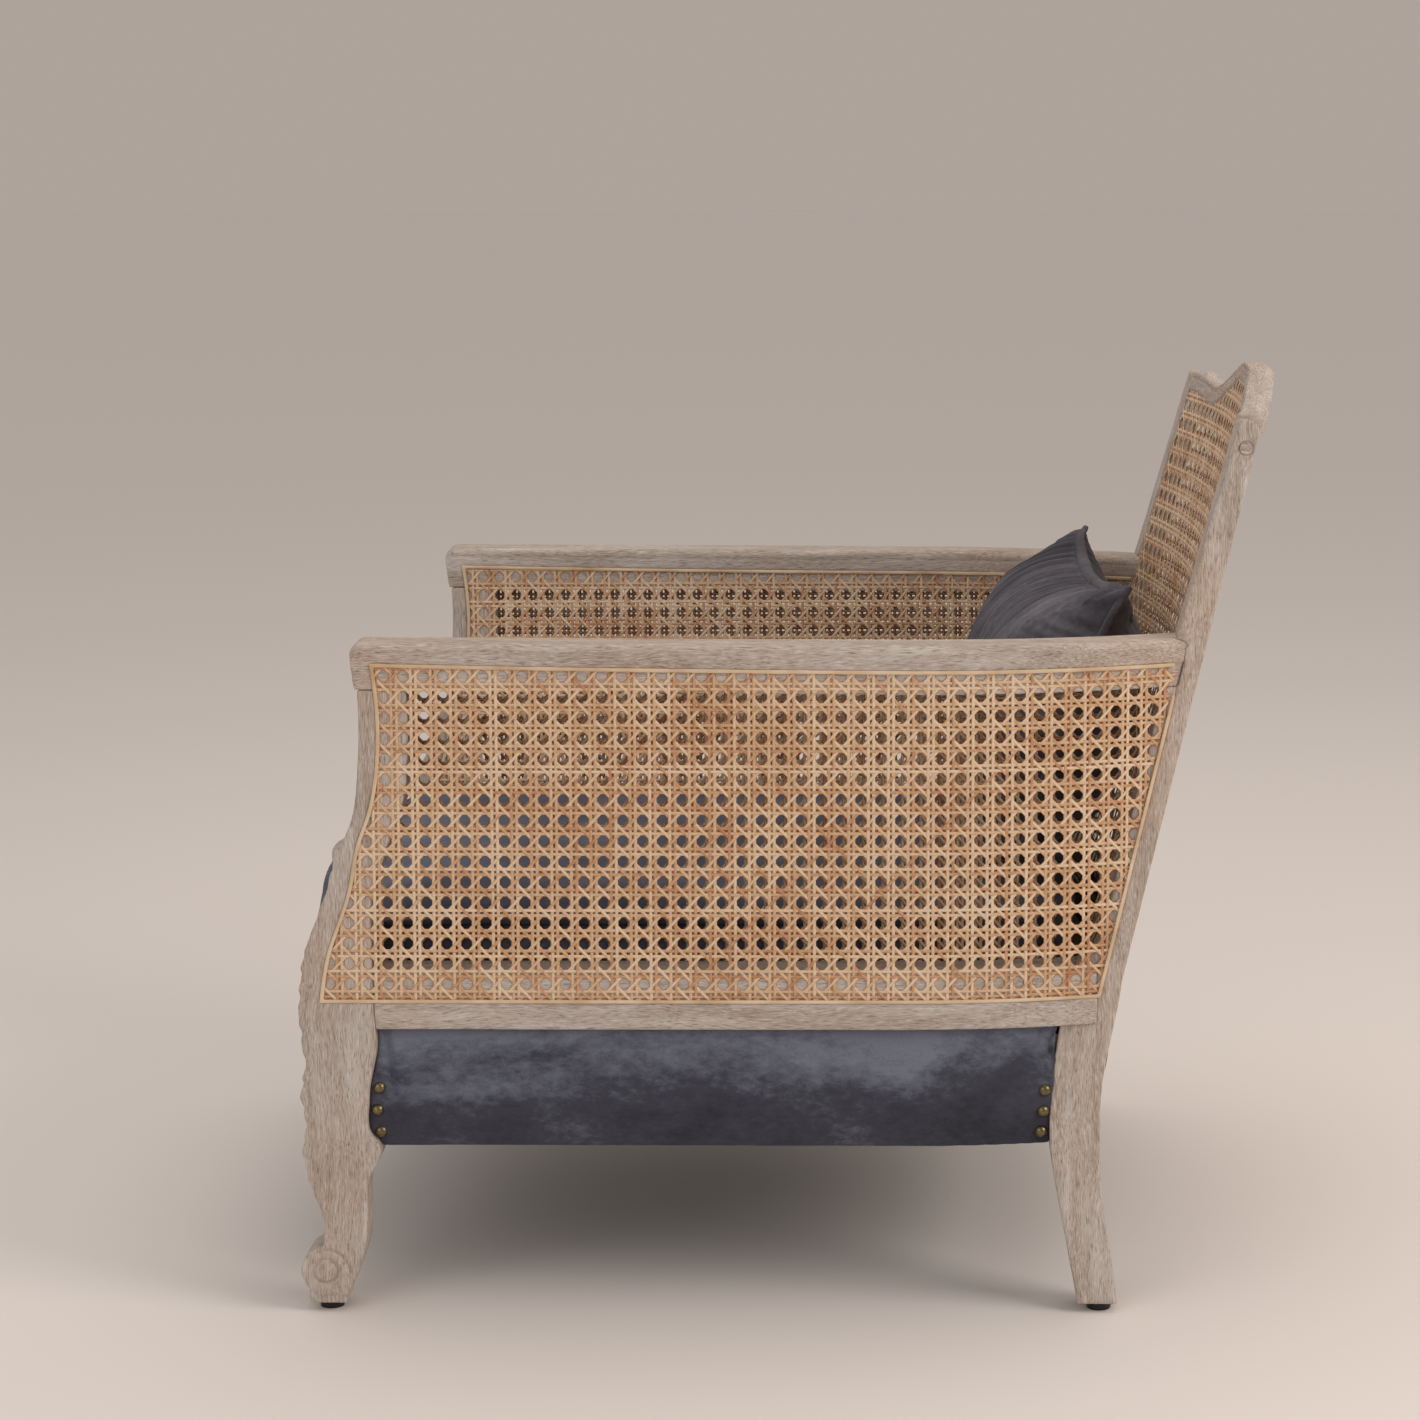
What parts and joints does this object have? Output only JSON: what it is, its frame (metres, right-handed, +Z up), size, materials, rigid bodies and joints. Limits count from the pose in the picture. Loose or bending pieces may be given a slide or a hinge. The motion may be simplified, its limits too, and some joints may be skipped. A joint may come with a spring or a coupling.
{
  "type": "upholstered armchair",
  "caption": "Low lounge armchair with a limed carved wooden frame, double-sided cane sides and back, velvet seat borders, a loose seat cushion and a scatter cushion.",
  "frame": {"origin": "middle of the bounding box in plan, on the floor", "axes": "+Z up; -Y is the way the chair faces; +X is to the right for someone looking at the front of the chair, and nodes named right are on that side"},
  "size_m": [0.702, 0.9578, 0.863],
  "materials": {
    "limed_wood": "matte",
    "cane_webbing": "satin",
    "reed_spline": "satin",
    "zinc_steel": "satin",
    "hidden_hardwood": "matte",
    "black_cambric": "matte",
    "wadding": "matte",
    "black_nylon": "matte",
    "antique_brass": "satin",
    "slate_velvet": "matte",
    "seat_foam": "matte",
    "jute_webbing": "matte"
  },
  "bodies": {
    "chair": {"arm_rail_left": "limed_wood", "arm_rail_right": "limed_wood", "back_cane_front": "cane_webbing", "back_cane_rear": "cane_webbing", "back_rail": "limed_wood", "back_spline_front": "reed_spline", "back_spline_rear": "reed_spline", "corner_block_screws": "zinc_steel", "corner_blocks": "hidden_hardwood", "crest_pegs": "limed_wood", "crest_rail": "limed_wood", "deck_cloth": "black_cambric", "deck_pad": "wadding", "dust_cover": "black_cambric", "floor_glides": "black_nylon", "front_leg_left": "limed_wood", "front_leg_right": "limed_wood", "front_seat_rail": "limed_wood", "joint_dowels": "hidden_hardwood", "rear_nails": "antique_brass", "rear_post_left": "limed_wood", "rear_post_right": "limed_wood", "rear_seat_rail": "hidden_hardwood", "rear_velvet": "slate_velvet", "rear_wadding": "wadding", "side_cane_inner_left": "cane_webbing", "side_cane_inner_right": "cane_webbing", "side_cane_outer_left": "cane_webbing", "side_cane_outer_right": "cane_webbing", "side_nails": "antique_brass", "side_rail_left": "limed_wood", "side_rail_right": "limed_wood", "side_seat_rail_left": "hidden_hardwood", "side_seat_rail_right": "hidden_hardwood", "side_spline_inner_left": "reed_spline", "side_spline_inner_right": "reed_spline", "side_spline_outer_left": "reed_spline", "side_spline_outer_right": "reed_spline", "side_velvet_left": "slate_velvet", "side_velvet_right": "slate_velvet", "side_wadding_left": "wadding", "side_wadding_right": "wadding", "webbing_cross": "jute_webbing", "webbing_long": "jute_webbing"},
    "seat_cushion": {"seat_cushion_border": "slate_velvet", "seat_cushion_bottom": "slate_velvet", "seat_cushion_core": "seat_foam", "seat_cushion_piping": "slate_velvet", "seat_cushion_top": "slate_velvet"},
    "scatter_cushion": {"scatter_cushion_back": "slate_velvet", "scatter_cushion_fill": "wadding", "scatter_cushion_front": "slate_velvet", "scatter_cushion_piping": "slate_velvet"}
  },
  "joints": [
    {"name": "seat_lift", "type": "slide", "parent": "chair", "child": "seat_cushion", "axis": [0, 0, 1], "range_m": [0, 0.25]},
    {"name": "scatter_lift", "type": "slide", "parent": "seat_cushion", "child": "scatter_cushion", "axis": [0, 0, 1], "range_m": [0, 0.15]}
  ]
}
